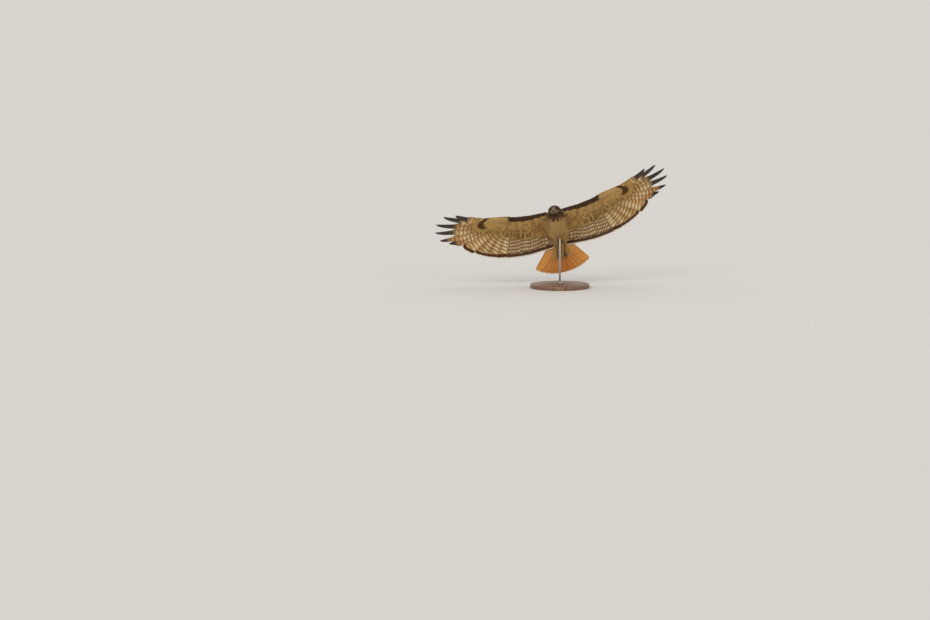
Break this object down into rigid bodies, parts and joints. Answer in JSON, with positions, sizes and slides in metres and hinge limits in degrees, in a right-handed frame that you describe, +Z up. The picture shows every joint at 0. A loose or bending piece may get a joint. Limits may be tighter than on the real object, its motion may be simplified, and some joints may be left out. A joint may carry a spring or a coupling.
{
  "type": "soaring hawk figure",
  "caption": "Life-size red-tailed hawk soaring with spread, fingered wings and fanned tail, held by a rod on a round display base.",
  "frame": {"origin": "middle of the base's underside, on the surface it stands on", "axes": "+Z up; +X towards the bird's left wing, along the span; -Y is the way the bird faces"},
  "size_m": [1.1764, 0.343, 0.6228],
  "materials": {
    "body_plumage": "soft feathers",
    "head_plumage": "short soft feathers",
    "wing_plumage": "stiff vanes",
    "tail_plumage": "stiff vanes",
    "bill_horn": "satin horn",
    "eye": "wet gloss",
    "foot_skin": "scaled skin",
    "talon_horn": "polished horn",
    "base_wood": "satin lacquer",
    "rod_steel": "brushed"
  },
  "bodies": {
    "root": {"stand_base": "base_wood", "stand_rod": "rod_steel", "torso": "body_plumage", "neck": "body_plumage", "head": "head_plumage", "bill_upper": "bill_horn", "bill_lower": "bill_horn", "eye_left": "eye", "eye_right": "eye", "wing_left": "wing_plumage", "wing_right": "wing_plumage", "tail": "tail_plumage", "leg_left": "body_plumage", "leg_right": "body_plumage", "foot_left": "foot_skin", "foot_right": "foot_skin", "talon_left_inner": "talon_horn", "talon_left_middle": "talon_horn", "talon_left_outer": "talon_horn", "talon_left_hind": "talon_horn", "talon_right_inner": "talon_horn", "talon_right_middle": "talon_horn", "talon_right_outer": "talon_horn", "talon_right_hind": "talon_horn"}
  },
  "joints": []
}
